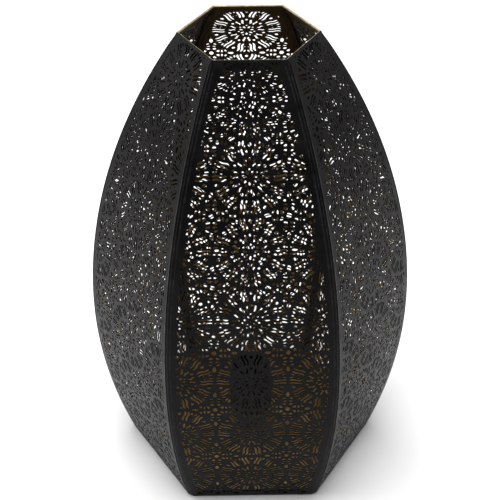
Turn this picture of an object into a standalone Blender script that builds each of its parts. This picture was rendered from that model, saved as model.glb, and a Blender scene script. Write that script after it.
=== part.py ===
"""Table lamp in the form of a six-sided Moroccan lantern.

Six bent sheet panels meet at corner strips and stand round an upturned base pan. A threaded
tube on the pan carries a lampholder. Metres, +Z up, the front panel faces -Y, and z = 0 is
the table that the rubber feet stand on.
"""

import math

import bmesh
import bpy
from mathutils import Matrix, Vector

MM = 0.001

# The shade. A side is that of the hexagon at that height, which is also its corner radius.
SIDES = 6
BELLY_SIDE = 156 * MM
BASE_SIDE = 124 * MM
TOP_SIDE = 63 * MM
PANEL_RISE = 455 * MM
BELLY_RISE = 164 * MM  # from the panels' lower edge to the widest section
FOOT_LIFT = 1 * MM  # the feet hold the panels this far off the table
BEND_STEPS = 18  # straight segments up a panel

# Sheet metal. Neighbouring pieces keep GAP between them.
SHEET = 0.8 * MM
GAP = 0.3 * MM
HEM_LENGTH = 9 * MM  # the top edge, folded inwards
HEM_DEPTH = 2.0 * MM  # from the outer face to the back of the fold

# Corner strips, a T in section: a narrow facet outside and a broad head behind the panels.
# Between the folds at the top only the neck goes on.
FACET_INSET = 2.2 * MM  # from the sharp corner that the panels would meet at
PANEL_INSET = FACET_INSET + 0.4 * MM
FACET_RECESS = 0.3 * MM
HEAD_INSET = 3.8 * MM
HEAD_THICKNESS = 1 * MM
HEAD_STEP = 0.2 * MM  # length in which the head ends

# Base pan, a tray turned upside down.
PAN_TOP = 11.5 * MM
PAN_LOW = 1.5 * MM
PAN_WALL = 1 * MM
PAN_CORNER_INSET = 8 * MM

# The cord's way out at the back, an arch that is open at the table.
NOTCH_RADIUS = 4 * MM
NOTCH_SPRING = 4.5 * MM  # height of the arch's centre
EDGING_WALL = 0.8 * MM
EDGING_LOW = 1.3 * MM
EDGING_LENGTH = 8 * MM
EDGING_START = 103.5 * MM  # distance of its inner end from the lamp's axis

# Rubber feet.
FOOT_CIRCLE = 98 * MM
FOOT_RADIUS = 7 * MM
FOOT_TAPER = 1 * MM
FOOT_EDGE = 0.8 * MM

# Threaded tube, its nuts and washers.
TUBE_RADIUS = 5 * MM
TUBE_BORE = 3.5 * MM
TUBE_LOW = 4.4 * MM
TUBE_HIGH = 33.5 * MM
NUT_ACROSS_FLATS = 14 * MM
NUT_THICKNESS = 3.5 * MM
NUT_EDGE = 0.4 * MM
WASHER_RADIUS = 10 * MM
WASHER_THICKNESS = 1 * MM
HOLE_RADIUS = TUBE_RADIUS + GAP

# Lampholder, measured up from its own underside.
HOLDER_BASE = 27 * MM
HOLDER_RADIUS = 21.7 * MM
HOLDER_WALL = 2.4 * MM
CAP_HEIGHT = 18.7 * MM
CAP_ROUND = 4 * MM
CAP_LEDGE = 10.7 * MM  # the insert sits on this ledge
CAP_LEDGE_RADIUS = 16.5 * MM
SHELL_BASE = CAP_HEIGHT + GAP
SHELL_HEIGHT = 35 * MM
SHELL_MOUTH = 17 * MM
SHELL_LIP = 3 * MM
SHELL_ROUND = 1.5 * MM
INSERT_BASE = CAP_LEDGE + GAP
INSERT_RADIUS = 17.6 * MM
INSERT_HEIGHT = 12.5 * MM
RECESS_RADIUS = 11 * MM
RECESS_DEPTH = 5 * MM
SLEEVE_BASE = INSERT_BASE + INSERT_HEIGHT + GAP
SLEEVE_RADIUS = 14.3 * MM
SLEEVE_WALL = 0.6 * MM
SLEEVE_HEIGHT = 23 * MM
SLEEVE_FLOOR_HOLE = 11.6 * MM

# Sprung contact leaf, in the insert's recess. It bends about its root.
LEAF_ROOT = -8.5 * MM
LEAF_LIFT = 0.8 * MM  # the root's middle above the recess floor
LEAF_WIDTH = 4.5 * MM
LEAF_THICKNESS = 0.5 * MM

# Terminals under the insert.
TERMINAL_SIZE = Vector((5, 7, 6)) * MM
TERMINAL_OFFSET = 9 * MM
SCREW_RADIUS = 1.5 * MM
SCREW_HEAD_RADIUS = 2.4 * MM
SCREW_HEAD_HEIGHT = 1.8 * MM
SCREW_REACH = 4.5 * MM
SLOT_WIDTH = 0.7 * MM
SLOT_DEPTH = 0.8 * MM

ROUND_STEPS = 32
SMALL_ROUND_STEPS = 20
CORNER_NAMES = ("right", "back_right", "back_left", "left", "front_left", "front_right")
PANEL_NAMES = ("front", "front_right", "back_right", "back", "back_left", "front_left")
BACK_PANEL = 3
Z_TO_X = Matrix.Rotation(math.pi / 2, 4, "Y")

HALF_SECTOR = math.pi / SIDES
FLAT = math.cos(HALF_SECTOR)  # a hexagon's apothem over its side


def arc_radius(rise, inset):
    """Radius of an arc that starts upright and comes in by inset over rise."""
    return (rise**2 + inset**2) / (2 * inset)


UPPER_RISE = PANEL_RISE - BELLY_RISE
LOWER_RADIUS = arc_radius(BELLY_RISE, (BELLY_SIDE - BASE_SIDE) * FLAT)
UPPER_RADIUS = arc_radius(UPPER_RISE, (BELLY_SIDE - TOP_SIDE) * FLAT)
LOWER_LENGTH = LOWER_RADIUS * math.asin(BELLY_RISE / LOWER_RADIUS)
PANEL_LENGTH = LOWER_LENGTH + UPPER_RADIUS * math.asin(UPPER_RISE / UPPER_RADIUS)


def bent(along, depth):
    """(apothem, height) at a length along the bent panel, at a depth behind its outer face."""
    radius = LOWER_RADIUS if along < LOWER_LENGTH else UPPER_RADIUS
    lean = (along - LOWER_LENGTH) / radius
    apothem = BELLY_SIDE * FLAT - radius + (radius - depth) * math.cos(lean)
    height = FOOT_LIFT + BELLY_RISE + (radius - depth) * math.sin(lean)
    return apothem, height


def length_at(height, depth):
    """Length along the lower arc at which that depth has this height."""
    sine = (height - FOOT_LIFT - BELLY_RISE) / (LOWER_RADIUS - depth)
    return LOWER_LENGTH + LOWER_RADIUS * math.asin(sine)


def corner_point(along, inset, depth):
    """A point of the panel to the -Y side of the corner at +X, inset from that corner."""
    apothem, height = bent(along, depth)
    across = apothem * math.tan(HALF_SECTOR) - inset
    x = apothem * math.cos(HALF_SECTOR) + across * math.sin(HALF_SECTOR)
    y = across * math.cos(HALF_SECTOR) - apothem * math.sin(HALF_SECTOR)
    return Vector((x, y, height))


def clear_scene():
    for obj in list(bpy.data.objects):
        bpy.data.objects.remove(obj)


def make_material(name, colour, roughness, metallic):
    material = bpy.data.materials.new(name)
    material.use_nodes = True
    shader = material.node_tree.nodes["Principled BSDF"]
    shader.inputs["Base Color"].default_value = (*colour, 1)
    shader.inputs["Roughness"].default_value = roughness
    shader.inputs["Metallic"].default_value = metallic
    return material


def make_object(name, mesh, material, location=(0, 0, 0), turn=0.0):
    """Links a mesh as a named object. A mesh keeps the first material that it is given."""
    if not mesh.materials:
        mesh.materials.append(material)
    obj = bpy.data.objects.new(name, mesh)
    obj.location = location
    obj.rotation_euler.z = turn
    bpy.context.scene.collection.objects.link(obj)
    return obj


def to_mesh(name, bm, smooth=False):
    """Closes a bmesh off into a mesh with its faces out."""
    bmesh.ops.recalc_face_normals(bm, faces=bm.faces)
    mesh = bpy.data.meshes.new(name)
    bm.to_mesh(mesh)
    bm.free()
    if smooth:
        mesh.shade_smooth()
        mesh.set_sharp_from_angle(angle=math.radians(35))
    return mesh


def lofted(name, sections):
    """Solid through rings of equal length, capped at both ends."""
    bm = bmesh.new()
    rings = [[bm.verts.new(point) for point in section] for section in sections]
    for low, high in zip(rings, rings[1:]):
        for i in range(len(low)):
            bm.faces.new((low[i - 1], low[i], high[i], high[i - 1]))
    bm.faces.new(rings[0])
    bm.faces.new(rings[-1])
    return to_mesh(name, bm)


def turned(name, profile, steps=ROUND_STEPS):
    """Solid of revolution about Z. The (radius, height) profile closes on itself or on the axis."""
    bm = bmesh.new()
    points = [bm.verts.new((radius, 0, height)) for radius, height in profile]
    edges = [bm.edges.new(pair) for pair in zip(points, points[1:])]
    if profile[0][0] > 0:
        edges.append(bm.edges.new((points[-1], points[0])))
    bmesh.ops.spin(
        bm, geom=points + edges, axis=(0, 0, 1), cent=(0, 0, 0), angle=math.tau, steps=steps
    )
    bmesh.ops.remove_doubles(bm, verts=bm.verts, dist=0.001 * MM)
    return to_mesh(name, bm, smooth=True)


def rounded(centre, radius, start, end, steps=4):
    """Points of an arc in a profile, between two angles in degrees."""
    angles = [math.radians(start + (end - start) * i / steps) for i in range(steps + 1)]
    return [(centre[0] + radius * math.cos(a), centre[1] + radius * math.sin(a)) for a in angles]


def box_mesh(name, low, high):
    bm = bmesh.new()
    bmesh.ops.create_cube(bm, size=1)
    size = Vector(high) - Vector(low)
    middle = (Vector(high) + Vector(low)) / 2
    bmesh.ops.scale(bm, vec=size, verts=bm.verts)
    bmesh.ops.translate(bm, vec=middle, verts=bm.verts)
    return to_mesh(name, bm)


def make_cutter(name, mesh, location=(0, 0, 0)):
    cutter = bpy.data.objects.new(name, mesh)
    cutter.location = location
    cutter.hide_render = True
    cutter.display_type = "WIRE"
    bpy.context.scene.collection.objects.link(cutter)
    return cutter


def cut(obj, cutter):
    modifier = obj.modifiers.new(cutter.name, "BOOLEAN")
    modifier.operation = "DIFFERENCE"
    modifier.object = cutter


def panel_point(along, side, inset, depth):
    """A point of the front panel, inset from the corner at the left (-1) or right (1)."""
    apothem, height = bent(along, depth)
    return side * (apothem * math.tan(HALF_SECTOR) - inset), -apothem, height


def panel_mesh():
    """The front panel. It is thicker at the top, for the folded edge."""
    hem_start = PANEL_LENGTH - HEM_LENGTH
    stations = [hem_start * i / BEND_STEPS for i in range(BEND_STEPS + 1)] + [PANEL_LENGTH]

    bm = bmesh.new()
    rings = []
    for along in stations:
        places = ((-1, 0), (1, 0), (1, SHEET), (-1, SHEET))
        ring = [panel_point(along, side, PANEL_INSET, depth) for side, depth in places]
        rings.append([bm.verts.new(point) for point in ring])
    for low, high in zip(rings, rings[1:]):
        for i in range(len(low)):
            bm.faces.new((low[i - 1], low[i], high[i], high[i - 1]))
    bm.faces.new(rings[0])
    bm.faces.new(rings[-1])
    bmesh.ops.recalc_face_normals(bm, faces=bm.faces)

    low, high = rings[-2][2:], rings[-1][2:]
    hem = next(face for face in bm.faces if set(face.verts) == {*low, *high})
    fold = bmesh.ops.extrude_face_region(bm, geom=[hem, *hem.edges])["geom"]
    for vert in (item for item in fold if isinstance(item, bmesh.types.BMVert)):
        nearest = min(low + high, key=lambda corner: (corner.co - vert.co).length)
        along = hem_start if nearest in low else PANEL_LENGTH
        vert.co = panel_point(along, math.copysign(1, vert.co.x), PANEL_INSET, HEM_DEPTH)
    return to_mesh("panel", bm)


def make_panels(black):
    mesh = panel_mesh()
    return [
        make_object(f"panel_{name}", mesh, black, turn=i * math.tau / SIDES)
        for i, name in enumerate(PANEL_NAMES)
    ]


def strip_section(along, outline):
    """A strip's ring at a length along it, from one half of its outline."""
    near = [corner_point(along, inset, depth) for inset, depth in outline]
    return near + [Vector((p.x, -p.y, p.z)) for p in reversed(near)]


def make_corner_strips(black):
    """Facet, neck between the panel edges, and head behind them up to the folds."""
    behind = SHEET + GAP
    back = behind + HEAD_THICKNESS
    head_outline = (
        (FACET_INSET, FACET_RECESS),
        (FACET_INSET, behind),
        (HEAD_INSET, behind),
        (HEAD_INSET, back),
    )
    neck_depths = [FACET_RECESS + (HEM_DEPTH - FACET_RECESS) * i / 3 for i in range(4)]
    neck_outline = [(FACET_INSET, depth) for depth in neck_depths]
    head_end = PANEL_LENGTH - HEM_LENGTH - GAP - HEAD_STEP
    stops = [head_end * i / BEND_STEPS for i in range(BEND_STEPS + 1)]
    sections = [strip_section(along, head_outline) for along in stops]
    sections += [
        strip_section(along, neck_outline) for along in (head_end + HEAD_STEP, PANEL_LENGTH)
    ]
    mesh = lofted("corner_strip", sections)
    for i, name in enumerate(CORNER_NAMES):
        make_object(f"corner_strip_{name}", mesh, black, turn=i * math.tau / SIDES)


def pan_ring(height, depth):
    """Twelve-sided ring inside the panels, its corners cut off to clear the corner strips."""
    ring = []
    along = length_at(height, depth)
    near = corner_point(along, PAN_CORNER_INSET, depth)
    for i in range(SIDES):
        for y in (near.y, -near.y):
            ring.append(sector_turn(i) @ Vector((near.x, y, height)))
    return ring


def sector_turn(i):
    return Matrix.Rotation(i * math.tau / SIDES, 3, "Z")


def make_base_pan(gold, tube_cutter, notch_cutter):
    outside = SHEET + GAP
    inside = outside + PAN_WALL
    bm = bmesh.new()
    rings = [
        [bm.verts.new(point) for point in pan_ring(height, depth)]
        for height, depth in (
            (PAN_TOP, outside),
            (PAN_LOW, outside),
            (PAN_LOW, inside),
            (PAN_TOP - PAN_WALL, inside),
        )
    ]
    for first, second in zip(rings, rings[1:]):
        for i in range(len(first)):
            bm.faces.new((first[i - 1], first[i], second[i], second[i - 1]))
    bm.faces.new(rings[0])
    bm.faces.new(rings[-1])
    pan = make_object("base_pan", to_mesh("base_pan", bm), gold)
    cut(pan, tube_cutter)
    cut(pan, notch_cutter)


def arch(radius, low, steps=8):
    """(x, z) points of a doorway shape, round at the top."""
    top = rounded((0, NOTCH_SPRING), radius, 0, 180, steps)
    return [(radius, low)] + top + [(-radius, low)]


def make_notch_cutter():
    outline = arch(NOTCH_RADIUS, -NOTCH_RADIUS)
    ends = (EDGING_START - EDGING_LENGTH, EDGING_START + 2 * EDGING_LENGTH)
    mesh = lofted("notch", [[Vector((x, y, z)) for x, z in outline] for y in ends])
    return make_cutter("notch_cutter", mesh)


def make_cable_edging(rubber):
    outer = arch(NOTCH_RADIUS - GAP, EDGING_LOW)
    inner = arch(NOTCH_RADIUS - GAP - EDGING_WALL, EDGING_LOW)
    outline = outer + inner[::-1]
    sections = [[Vector((x, y, z)) for x, z in outline] for y in (0, EDGING_LENGTH)]
    mesh = lofted("cable_edging", sections)
    make_object("cable_edging", mesh, rubber, (0, EDGING_START, 0))


def make_feet(rubber):
    height = PAN_TOP - PAN_WALL - GAP
    low_radius = FOOT_RADIUS - FOOT_TAPER
    profile = [
        (0, 0),
        (low_radius - FOOT_EDGE, 0),
        (low_radius, FOOT_EDGE),
        (FOOT_RADIUS, height),
        (0, height),
    ]
    mesh = turned("foot", profile, SMALL_ROUND_STEPS)
    for i, name in enumerate(CORNER_NAMES):
        place = sector_turn(i) @ Vector((FOOT_CIRCLE, 0, 0))
        make_object(f"foot_{name}", mesh, rubber, place)


def make_tube(zinc):
    chamfer = (TUBE_RADIUS - TUBE_BORE) / 4
    length = TUBE_HIGH - TUBE_LOW
    profile = [
        (TUBE_BORE, 0),
        (TUBE_RADIUS - chamfer, 0),
        (TUBE_RADIUS, chamfer),
        (TUBE_RADIUS, length - chamfer),
        (TUBE_RADIUS - chamfer, length),
        (TUBE_BORE, length),
    ]
    mesh = turned("threaded_tube", profile, SMALL_ROUND_STEPS)
    make_object("threaded_tube", mesh, zinc, (0, 0, TUBE_LOW))


def nut_mesh():
    bm = bmesh.new()
    radius = NUT_ACROSS_FLATS / 2 / FLAT
    bmesh.ops.create_cone(
        bm, cap_ends=True, segments=SIDES, radius1=radius, radius2=radius, depth=NUT_THICKNESS
    )
    bmesh.ops.translate(bm, vec=(0, 0, NUT_THICKNESS / 2), verts=bm.verts)
    return to_mesh("nut", bm)


def make_nuts_and_washers(zinc, tube_cutter):
    """From the table up: nut, washer, pan, washer, nut, and the nut under the lampholder."""
    underside = PAN_TOP - PAN_WALL
    washer_low = underside - GAP - WASHER_THICKNESS
    washer_high = PAN_TOP + GAP
    washer = turned(
        "washer",
        [
            (HOLE_RADIUS, 0),
            (WASHER_RADIUS, 0),
            (WASHER_RADIUS, WASHER_THICKNESS),
            (HOLE_RADIUS, WASHER_THICKNESS),
        ],
        SMALL_ROUND_STEPS,
    )
    make_object("base_washer_lower", washer, zinc, (0, 0, washer_low))
    make_object("base_washer_upper", washer, zinc, (0, 0, washer_high))
    nut = nut_mesh()
    heights = {
        "base_nut_lower": washer_low - GAP - NUT_THICKNESS,
        "base_nut_upper": washer_high + WASHER_THICKNESS + GAP,
        "holder_nut": HOLDER_BASE - GAP - NUT_THICKNESS,
    }
    for name, height in heights.items():
        obj = make_object(name, nut, zinc, (0, 0, height))
        edges = obj.modifiers.new("edges", "BEVEL")
        edges.width = NUT_EDGE
        cut(obj, tube_cutter)


def make_cap(black):
    inner = HOLDER_RADIUS - HOLDER_WALL
    corner = (HOLDER_RADIUS - CAP_ROUND, CAP_ROUND)
    profile = [(HOLE_RADIUS, 0)]
    profile += rounded(corner, CAP_ROUND, -90, 0)
    profile += [
        (HOLDER_RADIUS, CAP_HEIGHT),
        (inner, CAP_HEIGHT),
        (inner, CAP_LEDGE),
        (CAP_LEDGE_RADIUS, CAP_LEDGE),
        (CAP_LEDGE_RADIUS, CAP_ROUND),
        (CAP_LEDGE_RADIUS - CAP_ROUND + HOLDER_WALL, HOLDER_WALL),
        (HOLE_RADIUS, HOLDER_WALL),
    ]
    make_object("lampholder_cap", turned("lampholder_cap", profile), black, (0, 0, HOLDER_BASE))


def make_shell(black):
    inner = HOLDER_RADIUS - HOLDER_WALL
    profile = [(inner, 0), (HOLDER_RADIUS, 0)]
    profile += rounded(
        (HOLDER_RADIUS - SHELL_ROUND, SHELL_HEIGHT - SHELL_ROUND), SHELL_ROUND, 0, 90, 3
    )
    profile += [
        (SHELL_MOUTH, SHELL_HEIGHT),
        (SHELL_MOUTH, SHELL_HEIGHT - SHELL_LIP),
        (inner, SHELL_HEIGHT - SHELL_LIP),
    ]
    mesh = turned("lampholder_shell", profile)
    make_object("lampholder_shell", mesh, black, (0, 0, HOLDER_BASE + SHELL_BASE))


def make_insert(ceramic):
    profile = [
        (0, 0),
        (INSERT_RADIUS, 0),
        (INSERT_RADIUS, INSERT_HEIGHT),
        (RECESS_RADIUS, INSERT_HEIGHT),
        (RECESS_RADIUS, INSERT_HEIGHT - RECESS_DEPTH),
        (0, INSERT_HEIGHT - RECESS_DEPTH),
    ]
    mesh = turned("lampholder_insert", profile)
    make_object("lampholder_insert", mesh, ceramic, (0, 0, HOLDER_BASE + INSERT_BASE))


def make_sleeve(brass):
    inner = SLEEVE_RADIUS - SLEEVE_WALL
    profile = [
        (SLEEVE_FLOOR_HOLE, 0),
        (SLEEVE_RADIUS, 0),
        (SLEEVE_RADIUS, SLEEVE_HEIGHT),
        (inner, SLEEVE_HEIGHT),
        (inner, SLEEVE_WALL),
        (SLEEVE_FLOOR_HOLE, SLEEVE_WALL),
    ]
    mesh = turned("screw_sleeve", profile)
    make_object("screw_sleeve", mesh, brass, (0, 0, HOLDER_BASE + SLEEVE_BASE))


def make_contact_leaf(brass):
    """A strip that rises from its root to a rounded tip. Its origin is on its bending axis."""
    root = Vector((-1, 0)) * MM
    middle_line = [
        root,
        Vector((1.5, 0)) * MM,
        Vector((4, 1.1)) * MM,
        Vector((7, 3)) * MM,
        Vector((8.5, 3.6)) * MM,
        Vector((10, 3.3)) * MM,
        Vector((11, 2.5)) * MM,
    ]
    sections = []
    for i, point in enumerate(middle_line):
        before = middle_line[max(i - 1, 0)]
        after = middle_line[min(i + 1, len(middle_line) - 1)]
        run = (after - before).normalized()
        across = Vector((-run.y, run.x)) * LEAF_THICKNESS / 2
        low, high = point - across, point + across
        half = LEAF_WIDTH / 2
        sections.append(
            [
                Vector((low.x, -half, low.y)),
                Vector((low.x, half, low.y)),
                Vector((high.x, half, high.y)),
                Vector((high.x, -half, high.y)),
            ]
        )
    floor = HOLDER_BASE + INSERT_BASE + INSERT_HEIGHT - RECESS_DEPTH
    mesh = lofted("contact_leaf", sections)
    make_object("contact_leaf", mesh, brass, (LEAF_ROOT, 0, floor + LEAF_LIFT))


def screw_mesh():
    """Cheese-head screw about X, its shank towards -X, with a slot across its head."""
    profile = [
        (0, -SCREW_REACH),
        (SCREW_RADIUS, -SCREW_REACH),
        (SCREW_RADIUS, 0),
        (SCREW_HEAD_RADIUS, 0),
        (SCREW_HEAD_RADIUS, SCREW_HEAD_HEIGHT),
        (0, SCREW_HEAD_HEIGHT),
    ]
    mesh = turned("terminal_screw", profile, SMALL_ROUND_STEPS)
    mesh.transform(Z_TO_X)
    return mesh


def make_terminals(brass, zinc):
    """Two blocks under the insert, each with a screw that reaches in from outside."""
    top = HOLDER_BASE + INSERT_BASE - GAP
    middle = top - TERMINAL_SIZE.z / 2
    half = TERMINAL_SIZE / 2
    block = box_mesh("terminal", -half, half)
    bore_radius = SCREW_RADIUS + GAP
    reach = TERMINAL_SIZE.x
    bore = turned("bore", [(0, -reach), (bore_radius, -reach), (bore_radius, reach), (0, reach)], 16)
    bore.transform(Z_TO_X)
    slot_low = (SCREW_HEAD_HEIGHT - SLOT_DEPTH, -FOOT_RADIUS, -SLOT_WIDTH / 2)
    slot_high = (2 * SCREW_HEAD_HEIGHT, FOOT_RADIUS, SLOT_WIDTH / 2)
    slot = box_mesh("slot", slot_low, slot_high)
    screw = screw_mesh()
    for name, side in (("live", -1), ("neutral", 1)):
        turn = 0 if side > 0 else math.pi
        place = (side * TERMINAL_OFFSET, 0, middle)
        terminal = make_object(f"terminal_{name}", block, brass, place, turn)
        cut(terminal, make_cutter(f"bore_cutter_{name}", bore, place))
        head = (side * (TERMINAL_OFFSET + half.x + GAP), 0, middle)
        obj = make_object(f"terminal_screw_{name}", screw, zinc, head, turn)
        slot_cutter = make_cutter(f"slot_cutter_{name}", slot, head)
        slot_cutter.rotation_euler.z = turn
        cut(obj, slot_cutter)


def make_tube_cutter():
    top = TUBE_HIGH + TUBE_RADIUS
    profile = [(0, 0), (HOLE_RADIUS, 0), (HOLE_RADIUS, top), (0, top)]
    return make_cutter("tube_cutter", turned("tube_clearance", profile, SMALL_ROUND_STEPS))


def main():
    clear_scene()
    black = make_material("black_powder_coat", (0.02, 0.02, 0.022), 0.45, 0.3)
    gold = make_material("gold_paint", (0.45, 0.28, 0.08), 0.4, 0.8)
    bakelite = make_material("black_thermoset", (0.015, 0.015, 0.015), 0.35, 0.0)
    rubber = make_material("rubber", (0.03, 0.03, 0.03), 0.85, 0.0)
    zinc = make_material("zinc_plate", (0.6, 0.61, 0.63), 0.35, 1.0)
    brass = make_material("brass", (0.7, 0.5, 0.22), 0.3, 1.0)
    ceramic = make_material("ceramic", (0.85, 0.83, 0.78), 0.3, 0.0)

    tube_cutter = make_tube_cutter()
    notch_cutter = make_notch_cutter()
    panels = make_panels(black)
    cut(panels[BACK_PANEL], notch_cutter)
    make_corner_strips(black)
    make_base_pan(gold, tube_cutter, notch_cutter)
    make_cable_edging(rubber)
    make_feet(rubber)
    make_tube(zinc)
    make_nuts_and_washers(zinc, tube_cutter)
    make_cap(bakelite)
    make_shell(bakelite)
    make_insert(ceramic)
    make_sleeve(brass)
    make_contact_leaf(brass)
    make_terminals(brass, zinc)


main()
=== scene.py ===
"""Looks of the lantern lamp: pierced sheet panels, paint, rubbed edges, painted shade and highlights,
and the studio around it.
"""

from math import asin, copysign, cos, hypot, pi, radians, sin, sqrt, tan, tau

import bmesh
import bpy
import numpy as np
from mathutils import Matrix, Vector
from mathutils.geometry import delaunay_2d_cdt


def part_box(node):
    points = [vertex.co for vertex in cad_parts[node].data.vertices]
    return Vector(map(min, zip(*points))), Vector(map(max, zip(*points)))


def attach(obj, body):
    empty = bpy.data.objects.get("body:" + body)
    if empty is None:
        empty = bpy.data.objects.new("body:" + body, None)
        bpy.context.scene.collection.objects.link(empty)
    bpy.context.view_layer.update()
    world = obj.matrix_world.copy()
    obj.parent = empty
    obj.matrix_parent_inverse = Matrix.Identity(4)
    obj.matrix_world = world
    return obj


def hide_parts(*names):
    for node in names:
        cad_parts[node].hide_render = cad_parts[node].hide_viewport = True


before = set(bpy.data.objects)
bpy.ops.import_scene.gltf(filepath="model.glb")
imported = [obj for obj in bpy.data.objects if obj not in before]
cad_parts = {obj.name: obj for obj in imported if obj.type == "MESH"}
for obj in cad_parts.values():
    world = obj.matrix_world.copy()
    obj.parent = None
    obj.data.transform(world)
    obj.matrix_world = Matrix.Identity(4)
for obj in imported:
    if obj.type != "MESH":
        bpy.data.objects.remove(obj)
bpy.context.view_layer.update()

MM = 0.001
TINY = 0.001 * MM
SHARP = radians(35)  # faces that meet at more than this keep a sharp edge
BEVEL_STEPS = 3
SIDES = 6
HALF_SECTOR = pi / SIDES
BODY = "lamp"
PANEL_NAMES = ("front", "front_right", "back_right", "back", "back_left", "front_left")
CORNER_NAMES = ("right", "back_right", "back_left", "left", "front_left", "front_right")

# Sheet metal, as in the CAD solids.
SHEET = 0.8 * MM
GAP = 0.3 * MM
PANEL_INSET = 2.6 * MM  # from the sharp corner that two panels would meet at
HEM_LENGTH = 9 * MM
HEM_DEPTH = 2.0 * MM

# Pierced pattern: rosettes on a square lattice, with a star in the middle of every square.
PITCH = 66.8 * MM
FAN_HUB = 0.212  # from a star's middle to the hub of each of its fans, in pitches
WAVE_STEPS = 8
WAVE_BLUNT = 0.6  # a bar's width at its ends, before the tip
WAVE_TIP = 0.22
FIRST_ROW = 39.6 * MM  # the lowest rosettes' centres, along the panel from its lower edge
ROWS = 7
SPOKES = 7
SIDE_MARGIN = 8.5 * MM  # from the sharp corner too
END_MARGIN = 3 * MM
SMALLEST_HOLE = 1.7 * MM**2
HOLE_FULLNESS = 0.96  # of the drawn width
# How far a panel's pattern is shifted off the middle and off FIRST_ROW: across, along.
PATTERN_SHIFTS = {"front": (-1.0 * MM, -1.0 * MM), "back": (1.3 * MM, -7.0 * MM)}

# The panels' long edges are flared out a little, and close to a mitre below the rim.
EDGE_ROUND = 2 * MM
EDGE_TURN = -0.3
EDGE_SPACING = 8 * MM
EDGE_FADE = 12 * MM  # the flare fades out below the rim over this length
RIM_INSET = 0.3 * MM
RIM_CLOSING = 4 * MM
FOLD_STEPS = 6
FOLD_BLACK = 2  # steps of the fold's outer bend that are still black
BLACK, GOLD = 0, 1  # the panels' material slots

# Corner strips, as in the CAD solids, with a seam of filler down the middle.
FACET_INSET = 2.2 * MM
FACET_RECESS = 0.3 * MM
HEAD_INSET = 3.8 * MM
HEAD_THICKNESS = 1 * MM
HEAD_STEP = 0.2 * MM
HEAD_ROUND = 0.2 * MM
SEAM_HEIGHT = 0.35 * MM
SEAM_RIPPLE = 0.35
SEAM_WAVES = ((0.55, 23), (0.3, 61), (0.25, 139))  # share, waves along the strip
SEAM_SHAPE = ((0, 1), (0.12, 0.85), (0.22, 0.3), (0.3, 0), (0.88, 0))  # shares of width, height
STRIP_SPACING = 3 * MM

# Base pan, feet and cable edging.
PAN_WALL = 1 * MM
PAN_CORNER_INSET = 8 * MM
PAN_BEND = 1.2 * MM
PAN_BEND_STEPS = 5
PAN_LIP = 0.3 * MM
PAN_SOFT = 2.5 * MM
PAN_HOLE = 0.6  # of the washer's radius
CUT_BELOW, CUT_ABOVE = 10 * MM, 50 * MM  # how far the cutters reach from the table
NOTCH_RIM = 2 * MM
NOTCH_CUT = (8 * MM, 20 * MM)  # from the edging, inwards and outwards
FOOT_SOFT = 0.8 * MM
FOOT_FLANGE = 1 * MM  # how far the flange stands out
FLANGE_SOFT = 0.4 * MM
FOOT_BEAD = 0.25 * MM
BEAD_LOW, BEAD_MIDDLE = 0.35, 0.42  # shares of the foot's height
FOOT_HOLLOW = ((0, 1.6), (2.2, 1.6), (2.294, 1.05), (3.2, 0.2), (3.6, 0))  # in mm
EDGING_WALL = 0.8 * MM
EDGING_CROWN = (0.132 * MM, 0.22 * MM)  # of the outer and inner sides
EDGING_STEPS = 16

# Tube, nuts and washers.
TUBE_RADIUS = 5 * MM
TUBE_BORE = 3.5 * MM
TUBE_PITCH = 1 * MM
TUBE_THREAD = 0.45 * MM
TUBE_SOFT = 0.5 * MM
TUBE_SPACING = 0.2 * MM
BORE_LEAD = 0.3 * MM
CLEAR_BORE = TUBE_RADIUS + GAP  # of what the tube passes through
NUT_SOFT = 0.12 * MM
NUT_LEAD = 0.5 * MM
NUT_SPACING = 0.25 * MM
NUT_CHAMFER = radians(30)
WASHER_SOFT = 0.25 * MM

# Lampholder.
HOLDER_WALL = 2.4 * MM
MOULD_SOFT = 0.5 * MM
MOULD_LEAD = 0.3 * MM
CAP_ROUND = 4 * MM
CAP_LEAD = 0.4 * MM
CAP_SEAT = 4 * MM  # wide, round the bore
SEAT_STEP = 0.2 * MM
CAP_LEDGE = 10.7 * MM
CAP_LEDGE_RADIUS = 16.5 * MM
CAP_SLOPE = 1.6 * MM
CAP_RIB = 0.7 * MM
CAP_BAND = 3.6 * MM  # plain band above the ribs
GROOVE = ((0, 3), (0.5, 2.7), (0.5, 2.1), (0, 1.8))  # depth, distance from the top, in mm
GRIP_RIBS = 40
RIB_FADE = 1 * MM
RIB_SPACING = 1 * MM
SHELL_RIB = 0.6 * MM
SHELL_FOOT = 1.6 * MM
SHELL_COLLAR = 9 * MM
SHELL_NECK = 0.6 * MM
SHELL_ROUND = 1.5 * MM
SHELL_LIP = 3 * MM
SHELL_MOUTH = 17 * MM
SHELL_RINGS = (3 * MM, 7.2 * MM, 11.4 * MM)  # above the collar
RING_SHAPE = ((0.6, 0), (0.05, 0.5), (0.05, 1.3), (0.6, 1.8))  # depth, height, in mm
RECESS_RADIUS = 11 * MM
RECESS_DEPTH = 5 * MM
RECESS_ROUND = 0.8 * MM
INSERT_SOFT = 0.6 * MM
SLEEVE_WALL = 0.6 * MM
SLEEVE_FLOOR_HOLE = 11.6 * MM
SLEEVE_PITCH = 3.62 * MM
SLEEVE_THREAD = 0.5 * MM
SLEEVE_SPACING = 0.3 * MM
SLEEVE_FOOT = ((0.8, 0), (0.2, 0.3))  # in from the wall, up from the bottom, in mm
SLEEVE_PLAIN = (1.5 * MM, 0.5 * MM)  # without thread, at the bottom and at the top

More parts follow.
